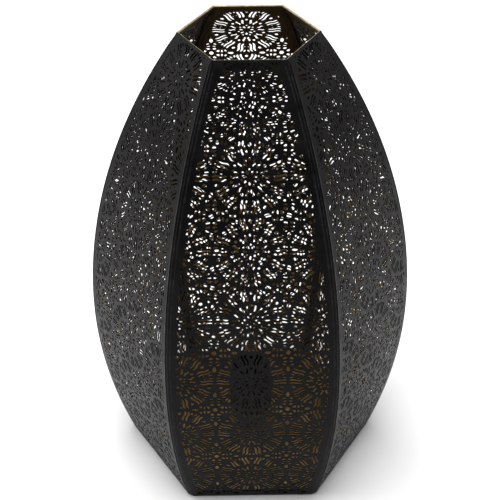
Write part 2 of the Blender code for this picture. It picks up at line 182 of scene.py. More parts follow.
# Contact leaf. The shares are of its length.
LEAF_THICKNESS = 0.5 * MM
LEAF_STEPS = 28
LEAF_END = 0.2 * MM
LEAF_SOFT = 0.15 * MM
CLIMB_START, CLIMB_SHARE = 0.2, 0.58
DROP_START, DROP_DEPTH = 0.8, 0.28  # the depth is a share of the climb
TIP_START, TIP_ROUND, TIP_LEAST = 0.88, 0.8, 0.05

# Terminals.
SCREW_RADIUS = 1.5 * MM
SCREW_PITCH = 0.5 * MM
SCREW_THREAD = 0.25 * MM
SCREW_SPACING = 0.12 * MM
SCREW_LEAD = 0.4 * MM
SCREW_HEAD_HEIGHT = 1.8 * MM
SCREW_HEAD_SOFT = 0.3 * MM
SLOT_WIDTH = 0.7 * MM
SLOT_DEPTH = 0.8 * MM
SLOT_SOFT = 0.05 * MM
WIRE_RADIUS = 1.1 * MM
WIRE_OFFSET = 1.9 * MM
BLOCK_SOFT = 0.35 * MM


# ---------------- the panels' curve


def outer_skin_points():
    """(apothem, height) up the outer skin of the CAD's front panel."""
    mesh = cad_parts["panel_front"].data
    skin = {i for face in mesh.polygons if face.normal.y < -0.5 for i in face.vertices}
    rows = {round(mesh.vertices[i].co.z, 5): -mesh.vertices[i].co.y for i in skin}
    return [(rows[height], height) for height in sorted(rows)]


def arc_through(first, middle, last):
    """(centre apothem, centre height, radius) of the circle through three points."""
    (ax, ay), (bx, by), (cx, cy) = first, middle, last
    twice = 2 * (ax * (by - cy) + bx * (cy - ay) + cx * (ay - by))
    a, b, c = ax**2 + ay**2, bx**2 + by**2, cx**2 + cy**2
    x = (a * (by - cy) + b * (cy - ay) + c * (ay - by)) / twice
    y = (a * (cx - bx) + b * (ax - cx) + c * (bx - ax)) / twice
    return x, y, hypot(ax - x, ay - y)


skin_points = outer_skin_points()
LOWER_ARC = arc_through(skin_points[0], skin_points[3], skin_points[6])
UPPER_ARC = arc_through(skin_points[-12], skin_points[-6], skin_points[-1])
FOOT_HEIGHT = skin_points[0][1]
BELLY_HEIGHT = LOWER_ARC[1]
LOWER_LENGTH = LOWER_ARC[2] * asin((BELLY_HEIGHT - FOOT_HEIGHT) / LOWER_ARC[2])
UPPER_LENGTH = UPPER_ARC[2] * asin((skin_points[-1][1] - BELLY_HEIGHT) / UPPER_ARC[2])
PANEL_LENGTH = LOWER_LENGTH + UPPER_LENGTH
FOLD_START = PANEL_LENGTH - HEM_DEPTH / 2  # the rim, where the fold's bend begins
CLOSING_START = FOLD_START - RIM_CLOSING


def lean(along):
    """How far the panel's outward normal is tilted up at a length along it."""
    radius = LOWER_ARC[2] if along < LOWER_LENGTH else UPPER_ARC[2]
    return (along - LOWER_LENGTH) / radius


def bent(along, depth=0.0):
    """(apothem, height) at a length along the panel, at a depth behind its outer face."""
    apothem, height, radius = LOWER_ARC if along < LOWER_LENGTH else UPPER_ARC
    angle = lean(along)
    reach = radius - depth
    return apothem + reach * cos(angle), height + reach * sin(angle)


def half_width(along, inset, depth=0.0):
    """From the panel's middle line to a line that keeps inset from the sharp corner."""
    return bent(along, depth)[0] * tan(HALF_SECTOR) - inset


# ---------------- pattern


def polar(radius, angle):
    """Point at an angle in degrees from straight up."""
    turn = radians(angle)
    return np.array((radius * sin(turn), radius * cos(turn)))


def petal(centre, length, width, angle=0.0, taper=0.0, steps=10):
    """Oval whose length lies at an angle from straight up, wider at its far end by taper."""
    length, width = length * HOLE_FULLNESS, width * HOLE_FULLNESS
    points = []
    for i in range(steps):
        t = tau * (i + 0.5) / steps
        half = width / 2 * (1 + taper * sin(t))
        across = polar(half * cos(t), angle + 90)
        points.append(centre + across + polar(length / 2 * sin(t), angle))
    return points


def wave(angle, offset, inner, outer, width, sway):
    """S-shaped bar beside the ray at an angle, between two radii, with round ends."""
    along, across = polar(1, angle), polar(1, angle + 90)
    width = width * HOLE_FULLNESS
    left, right = [], []
    for i in range(WAVE_STEPS + 1):
        t = i / WAVE_STEPS
        middle = along * (inner + (outer - inner) * t)
        middle = middle + across * (offset + sway * sin(tau * t))
        half = width / 2 * (WAVE_BLUNT if i in (0, WAVE_STEPS) else 1)
        left.append(middle - across * half)
        right.append(middle + across * half)
    tip = along * width * WAVE_TIP
    start = (left[0] + right[0]) / 2 - tip
    end = (left[-1] + right[-1]) / 2 + tip
    return [start] + right + [end] + left[::-1]


def rosette():
    """Holes of one rosette, in units of the lattice's pitch."""
    holes = []
    step = 360 / SPOKES
    for k in range(SPOKES):
        spoke, between = k * step, (k + 0.5) * step
        holes.append(petal(polar(0.0755, between), 0.06, 0.036, between, 0.15))
        holes.append(petal(polar(0.111, spoke), 0.034, 0.034))
        holes.append(petal(polar(0.243, spoke), 0.048, 0.042, spoke))
        holes.append(petal(polar(0.43, spoke), 0.06, 0.047, spoke))
        for side in (-1, 1):
            ray = spoke + side * step / 4
            holes.append(wave(spoke + side * 16.3, 0, 0.156, 0.248, 0.031, side * 0.008))
            for offset in (-0.0245, 0.0245):
                holes.append(wave(ray, offset, 0.3, 0.48, 0.031, side * -0.0085))
            holes.append(petal(polar(0.368, between + side * 3.9), 0.025, 0.025, steps=8))
            splayed = between + side * 22
            holes.append(petal(polar(0.458, between + side * 3.5), 0.063, 0.03, splayed))
    return holes


def star():
    """Holes of one star, in units of the lattice's pitch: four fans round a drop."""
    holes = [petal(np.zeros(2), 0.085, 0.07)]
    # Turn from the fan's middle, distance from its hub, length, width, taper.
    fan = (
        (17, 0.1155, 0.063, 0.046, 0.45),
        (45, 0.104, 0.066, 0.028, 0.45),
        (72.5, 0.109, 0.056, 0.034, 0),
    )
    for quarter in range(4):
        outward = 45 + 90 * quarter
        hub = polar(FAN_HUB, outward)
        for turn, distance, length, width, taper in fan:
            for side in (-1, 1):
                angle = outward + 180 + side * turn
                holes.append(petal(hub + polar(distance, angle), length, width, angle, taper))
    for side in (-1, 1):
        holes.append(petal(polar(side * 0.275, 0), 0.104, 0.053))
        holes.append(petal(polar(side * 0.275, 90), 0.094, 0.058, 90))
    return holes


def clipped(points, normal, limit):
    """The part of an outline where its product with normal is at most limit."""
    kept = []
    for i in range(len(points)):
        here, there = points[i - 1], points[i]
        a, b = here @ normal - limit, there @ normal - limit
        if a * b < 0:
            kept.append(here + (there - here) * (a / (a - b)))
        if b <= 0:
            kept.append(there)
    return kept


def area(points):
    x, y = np.array(points).T
    return (np.roll(x, 1) @ y - np.roll(y, 1) @ x) / 2


def clip_to_margins(hole):
    """Cuts a hole off at the panel's plain margins. Returns None if too little is left."""
    low, high = END_MARGIN, PANEL_LENGTH - END_MARGIN
    middle = min(max(float(np.mean(hole, axis=0)[1]), low), high)
    width = half_width(middle, SIDE_MARGIN)
    slope = (half_width(middle + MM, SIDE_MARGIN) - half_width(middle - MM, SIDE_MARGIN)) / (2 * MM)
    limits = [
        (np.array((1, -slope)), width - slope * middle),
        (np.array((-1, -slope)), width - slope * middle),
        (np.array((0, 1)), high),
        (np.array((0, -1)), -low),
    ]
    for normal, limit in limits:
        if len(hole) > 2:
            hole = clipped(hole, normal, limit)
    if len(hole) < 3 or abs(area(hole)) < SMALLEST_HOLE:
        return None
    return hole if area(hole) > 0 else hole[::-1]


def all_holes(shift):
    """Every hole of a panel in flat coordinates: across from its middle line, along it."""
    holes = []
    for motif, offset in ((rosette(), 0), (star(), 0.5)):
        for column in range(-1, 3):
            for row in range(ROWS + 1):
                centre = np.array((column - offset, row - offset)) * PITCH + shift
                centre[1] += FIRST_ROW
                for hole in motif:
                    holes.append([centre + point * PITCH for point in hole])
    return [hole for hole in map(clip_to_margins, holes) if hole]


# ---------------- panel meshes


def stations():
    """Lengths along the panel that its side edges have points at."""
    count = round(PANEL_LENGTH / EDGE_SPACING)
    return [CLOSING_START * i / count for i in range(count + 1)] + [FOLD_START]


def side_inset(along):
    """The sheet's own inset, which closes to a mitre just below the rim."""
    share = max(1 - (FOLD_START - along) / RIM_CLOSING, 0)
    return PANEL_INSET + (RIM_INSET - PANEL_INSET) * share


def flat_outline(notch):
    """The sheet's outline, counter-clockwise. The notch is a list of points in its lower edge."""
    right = [(half_width(s, side_inset(s)), s) for s in stations()]
    left = [(-u, s) for u, s in reversed(right)]
    across, top = right[-1]
    rim = [(across * t, top) for t in (0.75, 0.5, 0.25, 0, -0.25, -0.5, -0.75)]
    return [np.array(p) for p in right + rim + left + notch]


def inner_lines():
    """Chains of points along both side edges, which carry the edge's curve."""
    chains = []
    for inset in (PANEL_INSET + EDGE_ROUND * t for t in (0.25, 0.5, 0.75, 1)):
        for side in (-1, 1):
            chains.append([np.array((side * half_width(s, inset), s)) for s in stations()[1:-1]])
    return chains


def triangulate(outline, holes):
    """Flat points and triangles of a pierced sheet."""
    points, edges, faces = [], [], []
    for loop in [outline] + holes:
        start = len(points)
        points += [Vector(p) for p in loop]
        faces.append(list(range(start, len(points))))
    for chain in inner_lines():
        start = len(points)
        points += [Vector(p) for p in chain]
        edges += [(i, i + 1) for i in range(start, len(points) - 1)]
    flat, _, triangles, _, _, owners = delaunay_2d_cdt(points, edges, faces, 1, 1e-7)
    kept = [tri for tri, owner in zip(triangles, owners) if list(owner) == [0]]
    return np.array([(p.x, p.y) for p in flat]), kept


def edge_drop(across, along):
    """(depth, sideways turn) of the flared long edges at a flat point."""
    inset = max(half_width(along, PANEL_INSET) - abs(across), 0.0)
    near = max(1 - inset / EDGE_ROUND, 0.0)
    fade = min(max(PANEL_LENGTH - HEM_DEPTH - along, 0.0) / EDGE_FADE, 1.0)
    turn = EDGE_TURN * near * fade
    return EDGE_ROUND * turn * near / 2, turn


def to_space(across, along, depth):
    apothem, height = bent(along, depth)
    return across, -apothem, height


def normal_at(along, side_turn=0.0, side=1):
    """Outward normal of the front panel, turned sideways by side_turn."""
    angle = lean(along)
    out = Vector((0, -cos(angle), sin(angle)))
    return out * cos(side_turn) + Vector((side, 0, 0)) * sin(side_turn)


def fold_path(outer):
    """(along, depth) round the folded top edge and down to the end of the hem."""
    radius = HEM_DEPTH / 2 if outer else HEM_DEPTH / 2 - SHEET
    path = []
    for i in range(1, FOLD_STEPS + 1):
        turn = pi * i / FOLD_STEPS
        path.append((FOLD_START + radius * sin(turn), HEM_DEPTH / 2 - radius * cos(turn)))
    return path + [(PANEL_LENGTH - HEM_LENGTH, path[-1][1])]


class Sheet:
    """Collects the vertices and faces of one panel, each face with its paint."""

    def __init__(self):
        self.points, self.normals, self.wear_and_rim_highlight, self.faces, self.paints = [], [], [], [], []

    def vertex(self, point, normal=None, wear_and_rim_highlight=0.0):
        self.points.append(point)
        self.normals.append(normal)
        self.wear_and_rim_highlight.append(wear_and_rim_highlight)
        return len(self.points) - 1

    def face(self, corners, paint):
        self.faces.append(tuple(corners))
        self.paints.append(paint)

def build_sheet(flat, triangles):
    """Bends a flat pierced sheet and gives it thickness, hole walls and a folded top edge."""
    sheet = Sheet()
    outer, inner = [], []
    for across, along in flat:
        depth, turn = edge_drop(across, along)
        side = copysign(1, across)
        normal = normal_at(along, turn, side)
        outer.append(sheet.vertex(to_space(across, along, depth), normal, turn / EDGE_TURN))
    for across, along in flat:
        depth = edge_drop(across, along)[0] + SHEET
        inner.append(sheet.vertex(to_space(across, along, depth), -normal_at(along)))
    edges = set()
    for a, b, c in triangles:
        sheet.face((outer[a], outer[b], outer[c]), BLACK)
        sheet.face((inner[c], inner[b], inner[a]), GOLD)
        edges.update(((a, b), (b, c), (c, a)))
    on_rim = {i for i, point in enumerate(flat) if abs(point[1] - FOLD_START) < TINY}
    for a, b in sorted(edges):
        if (b, a) in edges or (a in on_rim and b in on_rim):
            continue
        sheet.face((outer[b], outer[a], inner[a], inner[b]), BLACK)
    add_fold(sheet, flat, sorted(on_rim, key=lambda i: flat[i][0]), outer, inner)
    return sheet


def mitred(across, along, depth):
    """A point of the fold, drawn in sideways with depth so that folds don't meet at corners."""
    share = half_width(along, RIM_INSET, depth) / half_width(along, RIM_INSET)
    return to_space(across * share, along, depth)


def add_fold(sheet, flat, columns, outer, inner):
    """The top edge, folded inwards and down as a hem."""
    outside, inside = fold_path(True), fold_path(False)
    # Marks the fold's top for a lighter colour: rubbed paint and, in part, a painted highlight on the
    # rim.
    wear_and_rim_highlight = [1.0 if FOLD_BLACK - 1 <= i < len(outside) - 2 else 0.0 for i in range(len(outside))]
    outer_rows, inner_rows = [], []
    for i in columns:
        across = flat[i][0]
        bend = [sheet.vertex(mitred(across, *p), None, w) for p, w in zip(outside, wear_and_rim_highlight)]
        outer_rows.append([outer[i]] + bend)
        inner_rows.append([inner[i]] + [sheet.vertex(mitred(across, *p)) for p in inside])
    last = len(outside)
    for j in range(len(columns) - 1):
        for i in range(last):
            o, p = outer_rows[j], outer_rows[j + 1]
            sheet.face((o[i], p[i], p[i + 1], o[i + 1]), BLACK if i < FOLD_BLACK else GOLD)
            o, p = inner_rows[j], inner_rows[j + 1]
            sheet.face((o[i + 1], p[i + 1], p[i], o[i]), BLACK)
        ends = outer_rows[j][last], outer_rows[j + 1][last]
        sheet.face(ends + (inner_rows[j + 1][last], inner_rows[j][last]), GOLD)
    for i in range(last):
        o, p = outer_rows[0], inner_rows[0]
        sheet.face((o[i], o[i + 1], p[i + 1], p[i]), BLACK)
        o, p = outer_rows[-1], inner_rows[-1]
        sheet.face((p[i], p[i + 1], o[i + 1], o[i]), BLACK)


def sheet_mesh(name, sheet, materials):
    mesh = bpy.data.meshes.new(name)
    mesh.from_pydata(sheet.points, [], sheet.faces)
    for material in materials:
        mesh.materials.append(material)
    mesh.polygons.foreach_set("material_index", sheet.paints)
    wear_and_rim_highlight = mesh.attributes.new("wear_and_rim_highlight", "FLOAT", "POINT")
    wear_and_rim_highlight.data.foreach_set("value", sheet.wear_and_rim_highlight)
    mesh.update()
    return mesh


def set_sheet_normals(mesh, sheet):
    """Skins get the true normals of the bend. Walls and the fold keep their own."""
    normals = []
    for polygon in mesh.polygons:
        own = [sheet.normals[i] for i in polygon.vertices]
        is_skin = all(n is not None and n.dot(polygon.normal) > 0.8 for n in own)
        normals += own if is_skin else [polygon.normal.copy()] * len(own)
    mesh.shade_smooth()
    mesh.normals_split_custom_set(normals)


def notch_points():
    """Points of the cord's notch, as an arch in the back panel's lower edge, left to right."""
    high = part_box("cable_edging")[1]
    radius = high.x + GAP
    spring = (high.z - high.x - FOOT_HEIGHT) / cos(lean(0))
    turns = [pi * (1 - i / 8) for i in range(9)]
    arch = [(radius * cos(turn), spring + radius * sin(turn)) for turn in turns]
    return [(-radius, 0)] + arch + [(radius, 0)]


def clear_of_notch(hole, arch):
    """Whether a hole leaves a plain rim round the notch."""
    width, height = arch[-1][0] + NOTCH_RIM, max(p[1] for p in arch) + NOTCH_RIM
    return min(p[1] for p in hole) > height or min(abs(p[0]) for p in hole) > width


def make_panels(black, gold):
    for i, name in enumerate(PANEL_NAMES):
        holes = all_holes(np.array(PATTERN_SHIFTS.get(name, (0, 0))))
        notch = notch_points() if name == "back" else []
        if notch:
            holes = [hole for hole in holes if clear_of_notch(hole, notch)]
        sheet = build_sheet(*triangulate(flat_outline(notch), holes))
        mesh = sheet_mesh(f"panel_{name}_pierced", sheet, (black, gold))
        set_sheet_normals(mesh, sheet)
        mesh.transform(sector_turn(i))
        add_piece(mesh, f"panel_{name}")


# ---------------- mesh tools


def linked(name, data):
    """A new object in the scene."""
    item = bpy.data.objects.new(name, data)
    bpy.context.scene.collection.objects.link(item)
    return item


def add_piece(mesh, node, body=BODY):
    """Links a mesh as the visible form of a CAD node."""
    piece = linked(f"{node}_fine", mesh)
    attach(piece, body)
    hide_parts(node)


def sector_turn(sector, size=4):
    """The turn from the first of the lamp's six sectors to another one."""
    return Matrix.Rotation(sector * tau / SIDES, size, "Z")


def shaded(mesh):
    """The mesh, smooth but for its sharp edges."""
    mesh.shade_smooth()
    mesh.set_sharp_from_angle(angle=SHARP)
    return mesh


def finished(name, bm, materials):
    """A bmesh as a mesh."""
    bmesh.ops.remove_doubles(bm, verts=bm.verts, dist=TINY)
    bmesh.ops.recalc_face_normals(bm, faces=bm.faces)
    mesh = bpy.data.meshes.new(name)
    bm.to_mesh(mesh)
    bm.free()
    for material in materials:
        mesh.materials.append(material)
    return shaded(mesh)


def lofted(name, sections, materials, paint=lambda side, level: 0):
    """Solid through rings of equal length, capped at both ends.

    paint(side, level) is a side's material. The last cap takes the one below it.
    """
    bm = bmesh.new()
    rings = [[bm.verts.new(point) for point in section] for section in sections]
    for level, (low, high) in enumerate(zip(rings, rings[1:])):
        for i in range(len(low)):
            face = bm.faces.new((low[i - 1], low[i], high[i], high[i - 1]))
            face.material_index = paint(i, level)
    bm.faces.new(rings[0])
    bm.faces.new(rings[-1]).material_index = paint(0, level)
    return finished(name, bm, materials)


def turned(name, profile, material, steps=96, shape=None):
    """Body of revolution about Z. shape(radius, height, turn) may move each point of it.

    The profile closes on itself, or starts and ends on the axis.
    """
    bm = bmesh.new()
    rings = []
    for k in range(steps):
        turn = tau * k / steps
        points = [shape(*point, turn) for point in profile] if shape else profile
        rings.append([bm.verts.new((r * cos(turn), r * sin(turn), z)) for r, z in points])
    on_axis = [radius == 0 for radius, _ in profile]
    count = len(profile) - 1 if on_axis[0] else len(profile)
    for k, here in enumerate(rings):
        there = rings[(k + 1) % steps]
        for i in range(count):
            j = (i + 1) % len(profile)
            corners = [here[i], there[i], there[j], here[j]]
            if on_axis[i]:
                del corners[1]
            elif on_axis[j]:
                del corners[2]
            bm.faces.new(corners)
    return finished(name, bm, (material,))


def arc(centre, radius, start, end, steps=5):
    """Points of an arc in a profile, between two angles in degrees."""
    angles = [radians(start + (end - start) * i / steps) for i in range(steps + 1)]
    return [(centre[0] + radius * cos(a), centre[1] + radius * sin(a)) for a in angles]


def rounded(radius, height, soft, quarter, steps=5):
    """A rounded corner of a profile. It faces out and down (quarter -1), out and up (0),
    in and up (1) or in and down (2).
    """
    across = -soft if quarter < 1 else soft
    up = -soft if quarter in (0, 1) else soft
    return arc((radius + across, height + up), soft, 90 * quarter, 90 * quarter + 90, steps)


def column(radius, low, high, spacing):
    """Points up a profile's upright line, for a surface that a shape function works on."""
    count = max(round(abs(high - low) / spacing), 1)
    return [(radius, low + (high - low) * i / count) for i in range(count + 1)]


def thread(crest, depth, pitch, fade_low, fade_high):
    """Shape function: a helical thread cut into whatever lies at the crest radius."""

    def shape(radius, height, turn):
        if abs(radius - crest) > TINY:
            return radius, height
        fade = min(max((height - fade_low) / pitch, 0), max((fade_high - height) / pitch, 0), 1)
        groove = 0.5 - 0.5 * cos(tau * (height / pitch) - turn)
        return radius - depth * groove * fade, height

    return shape


def baked(mesh, cutters, bevel=0.0):
    """The mesh with its cutters taken away, and then, if a bevel width is given, its edges bevelled."""
    item = linked("work", mesh)
    helpers = [linked("cutter", cutter) for cutter in cutters]
    for helper in helpers:
        item.modifiers.new("cut", "BOOLEAN").object = helper
    if bevel:
        modifier = item.modifiers.new("bevel", "BEVEL")
        modifier.width = bevel
        modifier.segments = BEVEL_STEPS
        modifier.limit_method = "ANGLE"
    graph = bpy.context.evaluated_depsgraph_get()
    result = bpy.data.meshes.new_from_object(item.evaluated_get(graph))
    for used in [item] + helpers:
        bpy.data.objects.remove(used)
    return shaded(result)


# ---------------- corner strips


def corner_place(along, inset, depth, share=1.0):
    """A point beside the corner at +X. A share below 1 draws it towards the corner's plane."""
    apothem, height = bent(along, depth)
    across = apothem * tan(HALF_SECTOR) - inset
    x = apothem * cos(HALF_SECTOR) + across * sin(HALF_SECTOR)
    y = across * cos(HALF_SECTOR) - apothem * sin(HALF_SECTOR)
    return Vector((x, y * share, height))


def seam_height(along):
    """Uneven height of the filler seam down the middle of a strip."""
    turn = along / PANEL_LENGTH * tau
    ripple = sum(share * sin(count * turn + share) for share, count in SEAM_WAVES)
    return SEAM_HEIGHT * (1 + SEAM_RIPPLE * ripple)


def strip_ring(along, with_head):
    """One ring of a strip: seam, facet, neck and, lower down, the head behind the panels."""
    behind, soft = SHEET + GAP, HEAD_ROUND
    back = behind + HEAD_THICKNESS
    side = min(FACET_INSET, side_inset(along) * FACET_INSET / PANEL_INSET)
    if with_head:
        lower = [(FACET_INSET, behind - soft), (FACET_INSET + soft, behind)]
        lower += [(HEAD_INSET - soft, behind), (HEAD_INSET, behind + soft)]
        lower += [(HEAD_INSET, back - soft), (HEAD_INSET - soft, back)]
    else:
        step = (HEM_DEPTH - FACET_RECESS) / 7  # gives as many points as the head has
        lower = [(side, FACET_RECESS + step * i) for i in range(2, 8)]
    facet = corner_place(along, side, FACET_RECESS)
    out = Vector((cos(lean(along)), 0, sin(lean(along)))) * seam_height(along)
    near = [Vector((facet.x, facet.y * share, facet.z)) + out * rise for share, rise in SEAM_SHAPE]
    near.append(corner_place(along, side, FACET_RECESS + soft / 2))
    near += [corner_place(along, inset, depth) for inset, depth in lower]
    near.append(corner_place(along, *lower[-1], 0.5))
    return near + [Vector((p.x, -p.y, p.z)) for p in reversed(near[1:])]


def make_corner_strips(black, sprayed):
    head_end = PANEL_LENGTH - HEM_LENGTH - GAP - HEAD_STEP
    count = round(head_end / STRIP_SPACING)
    rings = [strip_ring(head_end * i / count, True) for i in range(count + 1)]
    bare = [head_end + HEAD_STEP] + [CLOSING_START + RIM_CLOSING * t for t in (0, 0.5, 0.9)]
    rings += [strip_ring(along, False) for along in bare]
    ring = len(rings[0])
    inside = range(ring // 2 - 1, ring // 2 + 4)
    seam = (0, 1, ring - 1)
    for i, name in enumerate(CORNER_NAMES):
        mesh = lofted(f"strip_{name}", rings, (black, sprayed), lambda k, level: int(k in inside))
        wear_and_rim_highlight = [1.0 if k % ring in seam else 0.0 for k in range(len(mesh.vertices))]
        mesh.attributes.new("wear_and_rim_highlight", "FLOAT", "POINT").data.foreach_set("value", wear_and_rim_highlight)
        mesh.transform(sector_turn(i))
        add_piece(mesh, f"corner_strip_{name}")


# ---------------- base


def pan_corner_ring(height, depth):
    """Points round the pan at a height and depth, each of its twelve corners softened."""
    sine = (height - BELLY_HEIGHT) / (LOWER_ARC[2] - depth)
    along = LOWER_LENGTH + LOWER_ARC[2] * asin(sine)
    near = corner_place(along, PAN_CORNER_INSET, depth)
    corners = []
    for i in range(SIDES):
        corners += [sector_turn(i, 3) @ Vector((near.x, y, height)) for y in (near.y, -near.y)]
    ring = []
    for i, corner in enumerate(corners):
        before = (corners[i - 1] - corner).normalized() * PAN_SOFT
        after = (corners[(i + 1) % len(corners)] - corner).normalized() * PAN_SOFT
        ring += [corner + before * (1 - t) ** 2 + after * t**2 for t in (0, 0.25, 0.5, 0.75, 1)]
    return ring


def pan_levels(low, high):
    """(height, depth) from the pan's top down its outside and up again inside."""
    outside = SHEET + GAP
    inside = outside + PAN_WALL
    levels = []
    for i in range(PAN_BEND_STEPS, -1, -1):
        turn = pi / 2 * i / PAN_BEND_STEPS
        drop, depth = PAN_BEND * (1 - sin(turn)), PAN_BEND * (1 - cos(turn))
        levels.append((high - drop, outside + depth))
    levels += [(low + PAN_LIP, outside), (low, outside + PAN_LIP), (low, inside - PAN_LIP)]
    under = high - PAN_WALL
    return levels + [(low + PAN_LIP, inside), (under - PAN_BEND / 2, inside), (under, inside + PAN_BEND)]


def make_base_pan(gold, black):
    low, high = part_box("base_pan")
    rings = [pan_corner_ring(*level) for level in pan_levels(low.z, high.z)]
    flange = PAN_BEND_STEPS - 1  # the level where the black begins
    mesh = lofted("base_pan", rings, (gold, black), lambda side, level: int(level >= flange))
    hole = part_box("base_washer_upper")[1].x * PAN_HOLE
    side = [(hole, -CUT_BELOW), (hole, CUT_ABOVE)]
    tube = turned("tube_hole", [(0, -CUT_BELOW)] + side + [(0, CUT_ABOVE)], gold, 48)
    add_piece(baked(mesh, (tube, notch_cutter(black))), "base_pan")


def notch_cutter(black):
    low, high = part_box("cable_edging")
    radius = high.x + GAP
    outline = [(radius, -CUT_BELOW)] + arc((0, high.z + GAP - radius), radius, 0, 180, 12)
    outline.append((-radius, -CUT_BELOW))
    reach = (low.y - NOTCH_CUT[0], high.y + NOTCH_CUT[1])
    return lofted("notch", [[Vector((x, y, z)) for x, z in outline] for y in reach], (black,))


def make_feet(rubber):
    """Round feet, hollow underneath, each with a bead round it and a wider top."""
    low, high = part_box("foot_right")
    radius = (high.y - low.y) / 2
    foot = radius - FOOT_FLANGE
    profile = [(x * MM, z * MM) for x, z in FOOT_HOLLOW]
    profile += rounded(foot, 0, FOOT_SOFT, -1)
    profile.append((foot + FOOT_BEAD, BEAD_LOW * high.z))
    profile += arc((foot + 0.3 * MM, BEAD_MIDDLE * high.z), FOOT_BEAD, -60, 60, 3)
    profile += rounded(radius, high.z, FLANGE_SOFT, 0, 3) + [(0, high.z)]
    for name in CORNER_NAMES:
        low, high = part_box(f"foot_{name}")
        mesh = turned(f"foot_{name}", profile, rubber, 48)
        mesh.transform(Matrix.Translation(((low.x + high.x) / 2, (low.y + high.y) / 2, 0)))
        add_piece(mesh, f"foot_{name}")


def make_cable_edging(rubber):
    """Arch of rubber channel, its outer and inner sides slightly crowned along its length."""
    low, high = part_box("cable_edging")
    centre = (0, high.z - high.x)
    rings = []
    for i in range(EDGING_STEPS + 1):
        t = i / EDGING_STEPS
        flare = (2 * t - 1) ** 4
        outer = high.x - EDGING_CROWN[0] * flare
        inner = high.x - EDGING_WALL + EDGING_CROWN[1] * flare
        outline = [(outer, low.z)] + arc(centre, outer, 0, 180, 16) + [(-outer, low.z)]
        outline += [(-inner, low.z)] + arc(centre, inner, 180, 0, 16) + [(inner, low.z)]
        rings.append([Vector((x, low.y + (high.y - low.y) * t, z)) for x, z in outline])
    add_piece(lofted("edging", rings, (rubber,)), "cable_edging")


# ---------------- tube, nuts and washers


def make_tube(zinc):
    low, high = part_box("threaded_tube")
    radius, bore, soft = high.x, TUBE_BORE, TUBE_SOFT
    profile = [(bore + BORE_LEAD, low.z), (radius - soft, low.z)]
    profile += column(radius, low.z + soft, high.z - soft, TUBE_SPACING)
    profile += [(radius - soft, high.z), (bore + BORE_LEAD, high.z)]
    profile += [(bore, high.z - BORE_LEAD), (bore, low.z + BORE_LEAD)]
    shape = thread(radius, TUBE_THREAD, TUBE_PITCH, low.z, high.z)
    add_piece(turned("tube", profile, zinc, 48, shape), "threaded_tube")


def hexagon(flat):
    """Shape function: a round body's outside becomes a nut, its corners chamfered."""
    corner = flat / cos(HALF_SECTOR)

    def shape(radius, height, turn):
        if radius < flat - TINY:
            return radius, height
        within = (turn + HALF_SECTOR) % (tau / SIDES) - HALF_SECTOR
        reach = min(flat / cos(within), corner - NUT_SOFT)
        share = (radius - flat) / (corner - flat)
        return flat + (reach - flat) * share, height

    return shape


def make_nuts(zinc):
    bore, lead = CLEAR_BORE, NUT_LEAD
    for node in ("base_nut_lower", "base_nut_upper", "holder_nut"):
        low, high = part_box(node)
        flat = min(high.x, high.y)
        corner = flat / cos(HALF_SECTOR)
        chamfer = (corner - flat) * tan(NUT_CHAMFER)
        face = flat - TINY * 2
        profile = [(bore + lead, low.z), (face, low.z), (corner, low.z + chamfer)]
        profile += [(corner, high.z - chamfer), (face, high.z), (bore + lead, high.z)]
        profile += column(bore, high.z - lead, low.z + lead, NUT_SPACING)
        mesh = turned(node, profile, zinc, 96, hexagon(flat))
        if high.y > high.x:
            mesh.transform(Matrix.Rotation(HALF_SECTOR, 4, "Z"))
        add_piece(mesh, node)


def make_washers(zinc):
    for node in ("base_washer_lower", "base_washer_upper"):
        low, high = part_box(node)
        outer, inner = high.x, CLEAR_BORE
        profile = []
        for quarter, radius in ((-1, outer), (0, outer), (1, inner), (2, inner)):
            height = high.z if quarter in (0, 1) else low.z
            profile += rounded(radius, height, WASHER_SOFT, quarter, 3)
        add_piece(turned(node, profile, zinc, 72), node)


# ---------------- lampholder


def ribbed(name, profile, material, crest, depth, low, high):
    """Turned body with upright grip ribs between two heights."""

    def shape(radius, height, turn):
        if abs(radius - crest) > TINY or not low <= height <= high:
            return radius, height
        ends = min((height - low) / RIB_FADE, (high - height) / RIB_FADE, 1)
        return radius - depth * (0.5 - 0.5 * cos(GRIP_RIBS * turn)) ** 2 * ends, height

    return turned(name, profile, material, GRIP_RIBS * 8, shape)


def make_cap(bakelite):
    low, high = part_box("lampholder_cap")
    radius, bore, top = high.x, CLEAR_BORE, high.z
    inner, seat = radius - HOLDER_WALL, bore + CAP_SEAT
    ledge, floor = low.z + CAP_LEDGE, low.z + HOLDER_WALL
    rib_low, rib_high = low.z + CAP_ROUND, top - CAP_BAND
    profile = [(bore, low.z + CAP_LEAD), (bore + CAP_LEAD, low.z), (seat, low.z)]
    profile += arc((seat + 3 * SEAT_STEP, low.z + SEAT_STEP), SEAT_STEP, 180, 90, 2)
    profile += arc((radius - CAP_ROUND, rib_low), CAP_ROUND, -75, 0, 8)
    profile += column(radius, rib_low + 0.2 * MM, rib_high, RIB_SPACING)
    profile += [(radius - depth * MM, top - down * MM) for depth, down in GROOVE]
    profile += rounded(radius, top, MOULD_SOFT, 0, 3)
    profile += [(inner + MOULD_LEAD, top), (inner, top - MOULD_LEAD), (inner, ledge)]
    profile += [(CAP_LEDGE_RADIUS, ledge), (CAP_LEDGE_RADIUS, rib_low)]
    profile += [(CAP_LEDGE_RADIUS - CAP_SLOPE, floor), (bore, floor)]
    mesh = ribbed("cap", profile, bakelite, radius, CAP_RIB, rib_low, rib_high)
    add_piece(mesh, "lampholder_cap")


